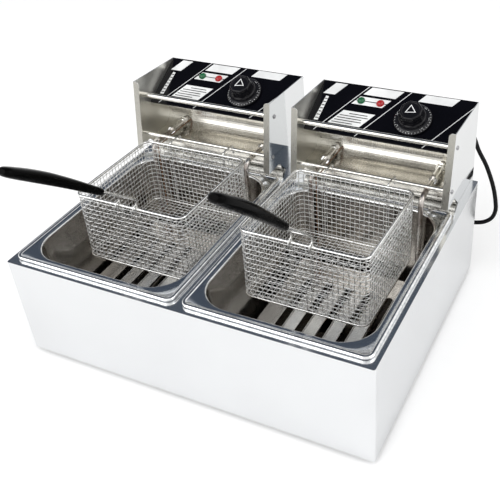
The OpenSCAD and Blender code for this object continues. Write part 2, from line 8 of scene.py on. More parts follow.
import bpy
import numpy as np
from mathutils import Matrix, Vector


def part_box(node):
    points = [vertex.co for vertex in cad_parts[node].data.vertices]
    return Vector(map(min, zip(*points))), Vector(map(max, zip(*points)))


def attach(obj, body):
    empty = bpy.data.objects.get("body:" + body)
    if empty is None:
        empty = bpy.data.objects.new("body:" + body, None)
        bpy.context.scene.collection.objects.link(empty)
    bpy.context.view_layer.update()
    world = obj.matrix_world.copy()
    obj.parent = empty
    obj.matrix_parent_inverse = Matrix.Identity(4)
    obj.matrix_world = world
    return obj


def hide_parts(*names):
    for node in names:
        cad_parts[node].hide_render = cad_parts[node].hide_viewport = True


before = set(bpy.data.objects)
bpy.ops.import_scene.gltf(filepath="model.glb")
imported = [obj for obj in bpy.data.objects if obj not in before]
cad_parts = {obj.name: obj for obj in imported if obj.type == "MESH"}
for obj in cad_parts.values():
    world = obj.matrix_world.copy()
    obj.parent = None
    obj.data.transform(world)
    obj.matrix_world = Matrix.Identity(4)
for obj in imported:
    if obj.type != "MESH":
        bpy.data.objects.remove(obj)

LOG = logging.getLogger("fryer")
Array = np.ndarray
Socket = bpy.types.NodeSocket
Inputs = dict[str | int, object]
Pair = tuple[float, float]
Triple = tuple[float, float, float]
Bar = tuple[float, float, float, float]
MM = 0.001
TAU = 2.0 * math.pi
WHITE = (1.0, 1.0, 1.0)
NO_TURN = 1e-4  # radians
SAME_POINT = 0.00001  # metres
HELPER_LEAN = 0.13


class Side(Enum):
    """The fryer's two halves, with the sign of their X."""

    LEFT = -1
    RIGHT = 1

    @property
    def word(self) -> str:
        """The half's name as the nodes spell it."""
        return self.name.lower()


@dataclass
class Half:
    """Something that each half of the fryer has one of."""

    side: Side

    def named(self, part: str) -> str:
        """The name of this half's node or piece, such as left_knob."""
        return f"{self.side.word}_{part}"

    def body(self, kind: str) -> str:
        """The name of this half's body, such as knob_left."""
        return f"{kind}_{self.side.word}"


# ---------------------------------------------------------------- geometry


def unit(vectors: Array) -> Array:
    """Vectors scaled to length 1 along their last axis."""
    return vectors / np.maximum(np.linalg.norm(vectors, axis=-1, keepdims=True), 1e-12)


def catmull(points: Sequence[Sequence[float]], steps: int) -> Array:
    """A smooth line through points.

    Each span is the cubic whose slope at a point is half the chord between that point's neighbours.

    Args:
        points: The points that the line passes through.
        steps: Samples in each span.

    Returns:
        The sampled line, one row for each sample.
    """
    p = np.asarray(points, float)
    p = np.vstack([2 * p[0] - p[1], p, 2 * p[-1] - p[-2]])
    a, b, c, d = (p[k:len(p) - 3 + k, None, :] for k in range(4))
    t = np.linspace(0, 1, steps, endpoint=False)[None, :, None]
    square, cube = 2 * a - 5 * b + 4 * c - d, 3 * b - a - 3 * c + d
    spans = 0.5 * (2 * b + (c - a) * t + square * t**2 + cube * t**3)
    return np.vstack([spans.reshape(-1, p.shape[1]), p[-2:-1]])


def rounded_line(points: Sequence[Sequence[float]], radius: float, steps: int = 6) -> Array:
    """A line whose inner corners are arcs of one radius.

    A corner's arc starts radius x tan(turn / 2) before it, and is the sum of the two leg directions
    weighted by the sine and cosine of the angle turned so far.

    Args:
        points: The line's corners, ends included.
        radius: The radius of the arcs.
        steps: Spans in each arc.

    Returns:
        The line's points.
    """
    p = np.asarray(points, float)
    out = [p[0]]
    for before, corner, after in zip(p[:-2], p[1:-1], p[2:]):
        start, end = unit(corner - before), unit(after - corner)
        turn = math.acos(float(np.clip(start @ end, -1, 1)))
        if turn < NO_TURN:
            out.append(corner)
            continue
        side = unit(end - start * (start @ end))
        first = corner - start * radius * math.tan(turn / 2)
        angle = np.linspace(0, turn, steps + 1)[:, None]
        out.extend(first + radius * (np.sin(angle) * start + (1 - np.cos(angle)) * side))
    out.append(p[-1])
    return np.array(out)


def rounded_rectangle(width: Array, length: Array, radius: Array, corner_steps: int) -> Array:
    """Rounded rectangles about the origin, counter-clockwise from +X.

    A point is the corner's centre plus radius x (cos a, sin a), with a running a quarter turn a corner.

    Args:
        width: Outer widths along X, one for each section.
        length: Outer lengths along Y.
        radius: Corner radii.
        corner_steps: Spans in each corner.

    Returns:
        An array (sections, points, 2).
    """
    w, l, r = (np.atleast_1d(np.asarray(v, float))[:, None] for v in (width, length, radius))
    quarter = np.linspace(0, TAU / 4, corner_steps + 1)
    angle = np.concatenate([quarter + k * TAU / 4 for k in range(4)])[None, :]
    sign_x = np.repeat([1, -1, -1, 1], corner_steps + 1)[None, :]
    sign_y = np.repeat([1, 1, -1, -1], corner_steps + 1)[None, :]
    x = sign_x * (w / 2 - r) + r * np.cos(angle)
    y = sign_y * (l / 2 - r) + r * np.sin(angle)
    return np.stack([x, y], axis=-1)


def evenly(line: Array, count: int) -> tuple[Array, Array]:
    """Points at equal steps along a closed line in the plane, and its outward normals.

    Args:
        line: The closed line's corners, counter-clockwise, without the first repeated.
        count: How many points to take.

    Returns:
        Points (count, 2) and unit normals (count, 2).
    """
    loop = np.vstack([line, line[:1]])
    run = np.concatenate([[0], np.cumsum(np.linalg.norm(np.diff(loop, axis=0), axis=1))])
    at = np.linspace(0, run[-1], count, endpoint=False)
    points = np.stack([np.interp(at, run, loop[:, k]) for k in range(2)], axis=-1)
    tangent = unit(np.roll(points, -1, axis=0) - np.roll(points, 1, axis=0))
    return points, np.stack([tangent[:, 1], -tangent[:, 0]], axis=-1)


def raised(flat: Array, height: Array | float) -> Array:
    """Points (..., 2) of a plane, with heights that broadcast over them."""
    return np.concatenate([flat, np.broadcast_to(height, flat.shape[:-1])[..., None]], axis=-1)


def placed(points: Array, matrix: Matrix) -> Array:
    """Points in millimetres, moved by a matrix in millimetres."""
    m = np.array(matrix)
    return points @ m[:3, :3].T + m[:3, 3]


def stand(name: str, data: bpy.types.ID) -> bpy.types.Object:
    """Makes an object of a mesh, a curve, a lamp or a camera, in the scene."""
    piece = bpy.data.objects.new(name, data)
    bpy.context.scene.collection.objects.link(piece)
    return piece


def weld(piece: bpy.types.Object) -> None:
    """Joins a piece's points that lie at the same place."""
    piece.modifiers.new("weld", "WELD").merge_threshold = SAME_POINT


@dataclass
class Builder:
    """Collects surfaces, in millimetres, and makes one object of them in metres."""

    name: str
    points: list[Array] = field(default_factory=list)
    faces: list[list[int]] = field(default_factory=list)
    slots: list[int] = field(default_factory=list)
    count: int = 0

    def _take(self, points: Array) -> int:
        """Adds points and returns the number of the first."""
        self.points.append(points.reshape(-1, 3))
        self.count += len(self.points[-1])
        return self.count - len(self.points[-1])

    def grid(self, points: Array, wrap_u: bool = False, wrap_v: bool = False, slot: int = 0) -> None:
        """Adds a surface of four-sided faces.

        Args:
            points: The grid (u, v, 3), or many grids (grids, u, v, 3).
            wrap_u: Whether the last row joins the first.
            wrap_v: Whether the last column joins the first.
            slot: The material slot.
        """
        grids = points if points.ndim == 4 else points[None]
        start = self._take(grids)
        many, rows, columns = grids.shape[:3]
        u = np.arange(rows if wrap_u else rows - 1)
        v = np.arange(columns if wrap_v else columns - 1)
        base = start + np.arange(many)[:, None, None] * rows * columns
        here = base + (u * columns)[None, :, None]
        there = base + ((u + 1) % rows * columns)[None, :, None]
        left, right = v[None, None, :], ((v + 1) % columns)[None, None, :]
        quads = np.stack([here + left, here + right, there + right, there + left], -1)
        self.faces += quads.reshape(-1, 4).tolist()
        self.slots += [slot] * quads[..., 0].size

    def flat(self, ring: Array, slot: int = 0, turned: bool = False) -> None:
        """Adds one flat face.

        Args:
            ring: The face's corners (corners, 3).
            slot: The material slot.
            turned: Whether the corners are taken in reverse.
        """
        start = self._take(ring)
        order = list(range(start, start + len(ring)))
        self.faces.append(order[::-1] if turned else order)
        self.slots.append(slot)

    def tubes(self, lines: Array, radius: float, sides: int, closed: bool = False) -> None:
        """Adds round wires along lines, with flat ends where they are open.

        A ring is the line's point plus radius x (cos a u + sin a v), where v is across the tangent and
        a helper direction, and u is across v and the tangent. The helper leans to the axis that the
        tangents follow least.

        Args:
            lines: One line (samples, 3), or many (lines, samples, 3).
            radius: The wires' radius.
            sides: Points in each ring.
            closed: Whether each line joins its own start.
        """
        lines = lines if lines.ndim == 3 else lines[None]
        if closed:
            tangent = unit(np.roll(lines, -1, axis=1) - np.roll(lines, 1, axis=1))
        else:
            tangent = unit(np.gradient(lines, axis=1))
        helper = np.full(3, HELPER_LEAN)
        helper[int(np.argmin(np.abs(tangent).mean(axis=(0, 1))))] = 1.0
        across = unit(np.cross(tangent, helper))
        over = np.cross(across, tangent)
        angle = np.linspace(0, TAU, sides, endpoint=False)[:, None]
        rings = lines[:, :, None] + radius * (
            np.cos(angle) * over[:, :, None] + np.sin(angle) * across[:, :, None])
        self.grid(rings, wrap_u=closed, wrap_v=True)
        if not closed:
            for tube in rings:
                self.flat(tube[0], turned=True)
                self.flat(tube[-1])

    def solid(self, points: Array, slot: int = 0) -> None:
        """Adds a grid that wraps across its rows, closed at both ends."""
        self.grid(points, wrap_v=True, slot=slot)
        self.flat(points[0], slot, turned=True)
        self.flat(points[-1], slot)

    def build(self, finishes: Sequence["Finish"], body: str, smooth_angle: float = 40.0,
              replaces: Sequence[str] = ()) -> bpy.types.Object:
        """Makes the object, dresses it and sets it riding.

        Args:
            finishes: One finish for each material slot.
            body: The body that the piece rides on.
            smooth_angle: Edges sharper than this stay sharp, in degrees.
            replaces: The nodes that the piece stands for.

        Returns:
            The new object.
        """
        mesh = bpy.data.meshes.new(self.name)
        mesh.from_pydata((np.vstack(self.points) * MM).tolist(), [], self.faces)
        mesh.polygons.foreach_set("material_index", self.slots)
        mesh.update()
        mesh.shade_smooth()
        mesh.set_sharp_from_angle(angle=math.radians(smooth_angle))
        for finish in finishes:
            mesh.materials.append(finish.material())
        piece = stand(self.name, mesh)
        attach(piece, body)
        if replaces:
            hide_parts(*replaces)
        LOG.info("%s: %d faces on %s", self.name, len(self.faces), body)
        return piece


# ---------------------------------------------------------------- finishes


class Graph:
    """A short way to write the nodes of a material or a world."""

    def __init__(self, owner: bpy.types.Material | bpy.types.World) -> None:
        """Opens the owner's nodes."""
        owner.use_nodes = True
        self.tree = owner.node_tree

    def feed(self, node: bpy.types.Node, inputs: Inputs) -> None:
        """Feeds a node's inputs.

        Args:
            node: The node.
            inputs: A socket to link or a value to set, by the input's name or number.
        """
        for key, value in inputs.items():
            if isinstance(value, Socket):
                self.tree.links.new(value, node.inputs[key])
            else:
                node.inputs[key].default_value = value

    def add(self, kind: str, inputs: Inputs | None = None, **settings: object) -> bpy.types.Node:
        """Adds a node.

        Args:
            kind: The node's type.
            inputs: What feeds it.
            settings: Its own properties.

        Returns:
            The node.
        """
        node = self.tree.nodes.new(kind)
        for key, value in settings.items():
            setattr(node, key, value)
        self.feed(node, inputs or {})
        return node

    def noise(self, scale: Sequence[float], detail: float = 3.0, roughness: float = 0.5) -> Socket:
        """Noise on the piece's own coordinates.

        Args:
            scale: The coordinates' stretch along X, Y and Z.
            detail: Octaves of the noise.
            roughness: The share of the finer octaves.

        Returns:
            A number about 0.5.
        """
        place = self.add("ShaderNodeTexCoord").outputs["Object"]
        mapping = self.add("ShaderNodeMapping", {"Vector": place, "Scale": tuple(scale)})
        node = self.add("ShaderNodeTexNoise", {"Vector": mapping.outputs["Vector"], "Scale": 1.0,
                                               "Detail": detail, "Roughness": roughness})
        return node.outputs["Fac"]

    def spread(self, value: Socket, low: float, high: float, start: float = 0.3, end: float = 0.7) -> Socket:
        """Maps start..end of a number to low..high."""
        limits = {"From Min": start, "From Max": end, "To Min": low, "To Max": high}
        return self.add("ShaderNodeMapRange", {"Value": value, **limits}).outputs["Result"]

    def blend(self, value: Socket, low: Sequence[float], high: Sequence[float], start: float = 0.3,
              end: float = 0.7, easing: str = "LINEAR") -> Socket:
        """Runs from one colour to another as a number runs from start to end.

        Args:
            value: The number.
            low: The colour up to start.
            high: The colour from end on.
            start: Where the change begins.
            end: Where the change is complete.
            easing: The ramp's interpolation.

        Returns:
            The colour.
        """
        node = self.add("ShaderNodeValToRGB", {"Fac": value})
        node.color_ramp.interpolation = easing
        for element, place, colour in zip(node.color_ramp.elements, (start, end), (low, high)):
            element.position = place
            element.color = (*colour, 1.0)
        return node.outputs["Color"]

    def bump(self, height: Socket, distance: float, strength: float, under: Socket | None = None) -> Socket:
        """A bump of a height map, on top of another one if there is one."""
        inputs = {"Height": height, "Distance": distance, "Strength": strength}
        if under is not None:
            inputs["Normal"] = under
        return self.add("ShaderNodeBump", inputs).outputs["Normal"]

    def backdrop(self, colour: Socket | Sequence[float], strength: float = 1.0) -> Socket:
        """Light of a colour from all round."""
        return self.add("ShaderNodeBackground", {"Color": colour, "Strength": strength}).outputs[0]

    def mix(self, share: Socket, first: Socket, second: Socket) -> Socket:
        """The first shader where share is 0, the second where it is 1."""
        return self.add("ShaderNodeMixShader", {0: share, 1: first, 2: second}).outputs[0]


_MADE: dict["Finish", bpy.types.Material] = {}


@dataclass(frozen=True)
class Finish:
    """A surface finish; each kind says what feeds its shader."""

    name: str
    colour: Triple

    def lay(self, graph: Graph) -> Inputs:
        """Adds the finish's nodes and returns what feeds the shader."""
        raise NotImplementedError

    def material(self) -> bpy.types.Material:
        """The finish's material, made once."""
        if self not in _MADE:
            _MADE[self] = bpy.data.materials.new(self.name)
            graph = Graph(_MADE[self])
            graph.feed(graph.tree.nodes["Principled BSDF"], self.lay(graph))
        return _MADE[self]

    def shade(self, factor: float) -> Triple:
        """The colour made lighter or darker."""
        return tuple(min(1.0, c * factor) for c in self.colour)


class Grain(Enum):
    """The direction that a sheet was brushed in."""

    X = 0
    Y = 1
    Z = 2


@dataclass(frozen=True)
class SheetSteel(Finish):
    """Stainless sheet: fine brushed lines, faint cloudy staining and small changes of gloss."""

    grain: Grain = Grain.X
    roughness: float = 0.25
    lines: float = 0.12
    cloud: float = 0.06
    cloud_scale: Triple = (7.0, 7.0, 7.0)
    across_scale: float = 900.0
    along_scale: float = 12.0

    def lay(self, graph: Graph) -> Inputs:
        """Lines are noise stretched 75 times along the grain; clouds are slow noise."""
        scale = [self.across_scale] * 3
        scale[self.grain.value] = self.along_scale
        lines = graph.noise(scale, detail=4.0, roughness=0.6)
        clouds = graph.noise(self.cloud_scale)
        low, high = self.roughness * (1 - self.lines), self.roughness * (1 + self.lines)
        return {"Base Color": graph.blend(clouds, self.shade(1 - self.cloud), self.shade(1 + self.cloud)),
                "Roughness": graph.spread(lines, low, high),
                "Normal": graph.bump(lines, 0.00003, 0.25), "Metallic": 1.0}


@dataclass(frozen=True)
class DrawnSteel(Finish):
    """Deep-drawn steel: smooth, with soft waves from the press and a second tint in patches."""

    roughness: float = 0.22
    tint: Triple = (0.25, 0.2, 0.15)

    def lay(self, graph: Graph) -> Inputs:
        """Slow noise moves the colour towards the tint and bends the reflections a little."""
        waves = graph.noise((9.0, 9.0, 14.0), detail=2.0)
        fine = graph.noise((260.0, 260.0, 40.0), detail=4.0)
        return {"Base Color": graph.blend(waves, self.colour, self.tint, 0.35, 0.8),
                "Roughness": graph.spread(fine, self.roughness * 0.85, self.roughness * 1.2),
                "Normal": graph.bump(fine, 0.00004, 0.2, graph.bump(waves, 0.0015, 0.3)), "Metallic": 1.0}


@dataclass(frozen=True)
class BrightWire(Finish):
    """Bright-drawn metal with small changes of gloss."""

    roughness: float = 0.18

    def lay(self, graph: Graph) -> Inputs:
        """Noise at wire scale changes the gloss and the shade."""
        specks = graph.noise((180.0, 180.0, 180.0))
        return {"Base Color": graph.blend(specks, self.shade(0.8), self.shade(1.1)), "Metallic": 1.0,
                "Roughness": graph.spread(specks, self.roughness * 0.7, self.roughness * 1.4)}


@dataclass(frozen=True)
class Moulded(Finish):
    """Moulded plastic or rubber: fine texture and faint wear."""

    roughness: float = 0.35
    texture: float = 0.00002
    scale: float = 900.0
    sheen_level: float = 0.5

    def lay(self, graph: Graph) -> Inputs:
        """Fine noise is the moulded texture; slow noise changes the gloss."""
        fine = graph.noise((self.scale,) * 3, detail=2.0)
        slow = graph.noise((25.0, 25.0, 25.0))
        return {"Base Color": graph.blend(slow, self.shade(0.85), self.shade(1.15)),
                "Roughness": graph.spread(slow, self.roughness * 0.85, min(1.0, self.roughness * 1.2)),
                "Normal": graph.bump(fine, self.texture, 0.5), "Specular IOR Level": self.sheen_level}


@dataclass(frozen=True)
class Lens(Finish):
    """A moulded lamp lens, faintly lit from within."""

    glow: float = 0.4

    def lay(self, graph: Graph) -> Inputs:
        """Fine noise stands for the ribs inside the lens, which make its colour uneven."""
        ribs = graph.noise((600.0, 600.0, 600.0), detail=1.0)
        colour = graph.blend(ribs, self.shade(0.6), self.shade(1.2))
        return {"Base Color": colour, "Emission Color": colour, "Emission Strength": self.glow,
                "Roughness": 0.12, "Coat Weight": 0.15}


@dataclass(frozen=True)
class HeatedTube(Finish):
    """A sheathed heating tube: dark oxide in patches over bare steel."""

    oxide: Triple = (0.26, 0.2, 0.17)

    def lay(self, graph: Graph) -> Inputs:
        """Patches of noise blend bare steel into oxide."""
        patches = graph.noise((30.0, 30.0, 18.0), detail=4.0)
        return {"Base Color": graph.blend(patches, self.colour, self.oxide, 0.4, 0.62), "Metallic": 1.0,
                "Roughness": graph.spread(patches, 0.14, 0.4)}


@dataclass(frozen=True)
class StudioFloor(Finish):
    """A pale floor that is lifted towards white for the camera's own rays."""

    lift: float = 0.15

    def lay(self, graph: Graph) -> Inputs:
        """Slow noise changes the white a little, and only the camera sees the glow."""
        slow = graph.noise((2.0, 2.0, 2.0), detail=2.0)
        seen = graph.add("ShaderNodeLightPath").outputs["Is Camera Ray"]
        return {"Base Color": graph.blend(slow, self.colour, tuple(c + 0.02 for c in self.colour)),
                "Roughness": 0.6, "Emission Color": (*WHITE, 1.0),
                "Emission Strength": graph.spread(seen, 0.0, self.lift, 0.0, 1.0)}


FRONT_STEEL = SheetSteel("housing steel", (0.86, 0.87, 0.88), Grain.X, 0.17, 0.1, 0.02)
BASE_STEEL = SheetSteel("base steel", (0.6, 0.61, 0.62), Grain.X, 0.38, 0.15, 0.06)
INNER_STEEL = SheetSteel("inner steel", (0.5, 0.51, 0.52), Grain.Y, 0.4, 0.15, 0.06)
HEAD_STEEL = SheetSteel("head steel", (0.66, 0.64, 0.59), Grain.Z, 0.24, 0.3, 0.12, (45.0, 45.0, 3.0))
WING_STEEL = SheetSteel("side plate steel", (0.86, 0.87, 0.87), Grain.Z, 0.06, 0.1, 0.02)
# Side plates' inner faces: a rougher finish of their own, with a warm tint that is painted reflection.
WING_INSIDE_PAINTED_REFLECTION = SheetSteel("side plate inner steel", (0.9, 0.89, 0.83), Grain.Z, 0.34, 0.15, 0.04)
# Side plates' front edge: the same steel darkened to grey-brown, painted shade.
WING_EDGE_PAINTED_SHADE = SheetSteel("side plate edge painted shade", (0.45, 0.44, 0.4), Grain.Z, 0.3, 0.2, 0.1)
# Rim flat: the tank's steel made darker and bluish, a painted reflection of dark surroundings; on the skirt
# and under the bead it is painted shade.
RIM_FLAT_PAINTED_REFLECTION = DrawnSteel("rim steel painted reflection", (0.72, 0.75, 0.79), 0.14, (0.6, 0.63, 0.68))
RIM_BEAD = BrightWire("rim bead", (0.92, 0.93, 0.94), 0.12)
TANK_WALL = DrawnSteel("tank steel", (0.42, 0.4, 0.37), 0.19, (0.24, 0.21, 0.18))
GUARD_STEEL = SheetSteel("guard plate steel", (0.93, 0.93, 0.92), Grain.Y, 0.17, 0.15, 0.05)
BAR_STEEL = SheetSteel("bar steel", (0.82, 0.8, 0.75), Grain.X, 0.2, 0.2, 0.05)
WIRE = BrightWire("basket wire", (0.92, 0.91, 0.89), 0.16)
MESH = BrightWire("mesh wire", (0.98, 0.97, 0.94), 0.3)
SCREW_STEEL = BrightWire("screw steel", (0.35, 0.35, 0.36), 0.3)
PANEL_BLACK = Moulded("panel lacquer", (0.003, 0.003, 0.005), 0.14, 0.00001, 500.0, 0.15)
PRINT_WHITE = Moulded("white print", (0.86, 0.87, 0.87), 0.45, 0.00001, 700.0)
GRIP_BLACK = Moulded("grip plastic", (0.002, 0.002, 0.002), 0.18, 0.00001, 600.0, 0.03)
KNOB_BLACK = Moulded("knob plastic", (0.006, 0.006, 0.008), 0.2, 0.00002, 900.0, 0.25)
DIAL_BLACK = Moulded("dial skirt plastic", (0.01, 0.01, 0.012), 0.14, 0.00001, 900.0, 0.4)
CORD_BLACK = Moulded("cord rubber", (0.004, 0.004, 0.005), 0.4, 0.00004, 700.0, 0.15)
FOOT_RUBBER = Moulded("foot rubber", (0.02, 0.02, 0.02), 0.7, 0.00005, 500.0)
CERAMIC = Moulded("terminal ceramic", (0.82, 0.8, 0.74), 0.3, 0.00002, 400.0)
RESIN = Moulded("thermostat resin", (0.3, 0.2, 0.1), 0.45, 0.00003, 500.0)
PIN_BRASS = BrightWire("plug pins", (0.8, 0.66, 0.36), 0.25)
COPPER = BrightWire("sensor copper", (0.35, 0.22, 0.15), 0.3)
FITTING_STEEL = BrightWire("element fitting steel", (0.88, 0.87, 0.84), 0.12)
GREEN_LENS = Lens("green lens", (0.005, 0.12, 0.04), 0.08)
RED_LENS = Lens("red lens", (0.4, 0.01, 0.012), 0.12)
ELEMENT = HeatedTube("heating tube", (0.74, 0.72, 0.69))
FLOOR_WHITE = StudioFloor("floor", (0.9, 0.9, 0.9))


# ---------------------------------------------------------------- the studio


@dataclass
class Studio:
    """Camera, floor and soft light."""

    target: Triple = (0.18459, -0.202, 0.32966)
    azimuth: float = 28.64
    elevation: float = 35.829
    roll: float = -4.35
    distance: float = 0.841892
    focal_px: float = 783.003
    centre_px: Pair = (291.876, 240.727)
    picture_px: float = 500.0
    sensor_mm: float = 36.0
    nearest: float = 0.02
    floor_reach: float = 6.0
    world_light: float = 0.85
    ceiling_towards: Triple = (-0.41, 0.37, 0.84)
    ceiling_edge: Pair = (0.6, 0.86)
    ceiling_dark: Triple = (0.07, 0.085, 0.11)
    lamp_target: Triple = (0.0, 0.0, 0.15)

    def camera(self) -> None:
        """Stands the camera; its back direction comes from azimuth and elevation, then it is rolled."""
        az, el, roll = (math.radians(v) for v in (self.azimuth, self.elevation, self.roll))
        back = Vector((math.sin(az) * math.cos(el), -math.cos(az) * math.cos(el), math.sin(el)))
        right = Vector((math.cos(az), math.sin(az), 0.0))
        up = back.cross(right)
        right, up = (math.cos(roll) * right + math.sin(roll) * up,
                     math.cos(roll) * up - math.sin(roll) * right)
        data = bpy.data.cameras.new("camera")
        data.sensor_width = self.sensor_mm
        data.lens = self.focal_px / self.picture_px * self.sensor_mm
        data.shift_x = 0.5 - self.centre_px[0] / self.picture_px
        data.shift_y = self.centre_px[1] / self.picture_px - 0.5
        data.clip_start = self.nearest
        place = Matrix((right, up, back)).transposed().to_4x4()
        place.translation = Vector(self.target) + back * self.distance
        camera = stand("camera", data)
        camera.matrix_world = place
        bpy.context.scene.camera = camera

    def floor(self) -> None:
        """Lays a wide pale floor that turns to white for the camera."""
        mesh = bpy.data.meshes.new("studio_floor")
        corners = np.array([(-1, -1, 0), (1, -1, 0), (1, 1, 0), (-1, 1, 0)]) * self.floor_reach
        mesh.from_pydata(corners.tolist(), [], [[0, 1, 2, 3]])
        mesh.materials.append(FLOOR_WHITE.material())
        floor = stand("studio_floor", mesh)

    def light(self) -> None:
        """Sets an even world and two large soft lamps.

        What polished steel mirrors is a white room with a dark ceiling behind the fryer: the room's
        brightness falls as a direction comes near the ceiling's middle.
        """
        world = bpy.data.worlds.new("studio")
        bpy.context.scene.world = world
        graph = Graph(world)
        graph.tree.nodes.clear()
        rays = graph.add("ShaderNodeLightPath").outputs
        seen = graph.add("ShaderNodeMath", {0: rays["Is Camera Ray"], 1: rays["Is Transmission Ray"]},
                         operation="MAXIMUM")
        direction = graph.add("ShaderNodeTexCoord").outputs["Generated"]
        near = graph.add("ShaderNodeVectorMath", {0: direction, 1: Vector(self.ceiling_towards).normalized()},
                         operation="DOT_PRODUCT")
        room = graph.blend(near.outputs["Value"], WHITE, self.ceiling_dark, *self.ceiling_edge, easing="EASE")
        soft = graph.backdrop((*WHITE, 1.0), self.world_light)
        mirrored = graph.mix(rays["Is Glossy Ray"], soft, graph.backdrop(room))
        whole = graph.mix(seen.outputs[0], mirrored, graph.backdrop((*WHITE, 1.0)))
        graph.add("ShaderNodeOutputWorld", {"Surface": whole})
        self.lamp("key", (-1.4, -2.2, 2.0), 2.9, 41.0)
        self.lamp("fill", (2.4, 0.2, 1.4), 2.0, 16.0)

    def lamp(self, name: str, place: Triple, size: float, power: float) -> None:
        """Hangs a square soft lamp that points at the fryer.

        Args:
            name: The lamp's name.
            place: Where it hangs, in metres.
            size: Its edge, in metres.
            power: Its power, in watts.
        """
        data = bpy.data.lights.new(name, "AREA")
        data.size = size
        data.energy = power
        lamp = stand(name, data)
        lamp.location = place
        lamp.rotation_euler = (Vector(self.lamp_target) - Vector(place)).to_track_quat("-Z", "Y").to_euler()

    def make(self) -> None:
        """Sets up camera, floor and light."""
        bpy.context.scene.view_settings.view_transform = "Standard"
        self.camera()
        self.floor()
        self.light()


# ---------------------------------------------------------------- shared sizes

REAR_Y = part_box("housing_shell")[1].y / MM
HEAD_X = 143.4  # from the middle of the fryer to the middle of a head
PANEL_FRONT = (-72.5, 253.0)  # a panel's front edge: from the rear, and up
PANEL_TILT = 27.8  # degrees


def dress(node: str, *finishes: Finish, pick: Callable[[Array, Array], Array] | None = None) -> None:
    """Gives a node of the model its finish and soft shading across its curves.

    Args:
        node: The node's name.
        finishes: The finish of the whole node, or all those that its faces choose from.
        pick: Numbers each face's finish, from all faces' centres, in metres, and normals.
    """
    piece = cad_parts[node]
    piece.data.materials.clear()
    for finish in finishes:
        piece.data.materials.append(finish.material())
    if pick is not None:
        faces = piece.data.polygons
        centres, normals = np.zeros((len(faces), 3)), np.zeros((len(faces), 3))
        faces.foreach_get("center", centres.ravel())
        faces.foreach_get("normal", normals.ravel())
        faces.foreach_set("material_index", pick(centres, normals).astype(np.int32))
    weld(piece)
    LOG.info("%s dressed as %s", node, " and ".join(finish.name for finish in finishes))


def panel_matrix(side: Side) -> Matrix:
    """From the panel's own millimetres (across, up the slope, off the face) to the fryer's."""
    place = Matrix.Translation((side.value * HEAD_X, REAR_Y + PANEL_FRONT[0], PANEL_FRONT[1]))
    return place @ Matrix.Rotation(math.radians(PANEL_TILT), 4, "X")


# ---------------------------------------------------------------- mains cord


@dataclass
class MainsCord:
    """The cord from the right head's gland, round to a coil behind the housing, and its plug."""

    diameter: float = 7.0
    route: tuple[tuple[float, float, float], ...] = (
        (243.4, 274, 228), (243.4, 284, 228), (245, 297, 223.5), (248, 306.5, 213.5), (252.5, 311, 200),
        (260, 311.5, 181), (276, 308, 156), (291, 302.5, 123), (298.5, 298.5, 94), (298.8, 296.7, 79.5),
        (294, 295, 67.5), (283.5, 293.5, 59), (270, 291.5, 55.5), (248, 288, 53.5), (223, 289, 41.5),
        (206, 296, 26.5), (191, 308, 12), (176, 319.5, 5), (158, 326.5, 3.5), (140, 327.5, 3.5))
    coil_at: tuple[float, float] = (140.0, 285.5)
    rings: tuple[float, float] = (42.0, 35.0)
    turns: int = 4
    tail: tuple[tuple[float, float, float], ...] = (
        (140, 327.5, 10.5), (124, 328, 10.5), (106, 326, 11), (88, 322, 11))
    plug_turn: float = 192.5
    plug_body: float = 36.1

    def pins(self, centres: Array, normals: Array) -> Array:
        """Numbers the plug's faces: 1 for the pins, which lie past its body along its axis, and 0 elsewhere.

        Args:
            centres: The faces' centres, in metres.
            normals: The faces' normals; not used.

        Returns:
            The numbers.
        """
        angle = math.radians(self.plug_turn)
        axis = np.array([math.cos(angle), math.sin(angle)])
        return (centres[:, :2] / MM - np.array(self.tail[-1][:2])) @ axis > self.plug_body

    def coil(self) -> Array:
        """The coil's turns: outer ring, inner ring, then both again one cord higher.

        The radius and the height move from one turn's value to the next over a sixth of a turn.

        Returns:
            The centreline's points.
        """
        turn = np.linspace(0, self.turns, self.turns * 28 + 1)
        outer, inner = self.rings
        radii = np.array([outer, inner, inner, outer, outer])
        heights = np.array([0.5, 0.5, 1.5, 1.5, 1.5]) * self.diameter
        whole = np.minimum(turn.astype(int), self.turns - 1)
        late = np.clip((turn - whole - 5 / 6) * 6, 0, 1)
        late = late * late * (3 - 2 * late)
        radius = radii[whole] * (1 - late) + radii[whole + 1] * late
        height = heights[whole] * (1 - late) + heights[whole + 1] * late
        angle = TAU * (0.25 + turn)
        x = self.coil_at[0] + radius * np.cos(angle)
        y = self.coil_at[1] + radius * np.sin(angle)
        return np.stack([x, y, height], axis=-1)

    def make(self) -> None:
        line = np.vstack([catmull(self.route, 6)[:-1], self.coil()[:-1], catmull(self.tail, 6)]) * MM
        curve = bpy.data.curves.new("mains_lead", "CURVE")
        curve.dimensions = "3D"
        curve.bevel_depth = self.diameter / 2 * MM
        curve.bevel_resolution = 4
        curve.use_fill_caps = True
        spline = curve.splines.new("POLY")
        spline.points.add(len(line) - 1)
        spline.points.foreach_set("co", np.hstack([line, np.ones((len(line), 1))]).ravel())
        spline.use_smooth = True
        curve.materials.append(CORD_BLACK.material())
        lead = stand("mains_lead", curve)
        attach(lead, "head_right")
        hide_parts("mains_cord", "cord_coil", "cord_tail")
        dress("plug", CORD_BLACK, PIN_BRASS, pick=self.pins)


# ---------------------------------------------------------------- tanks


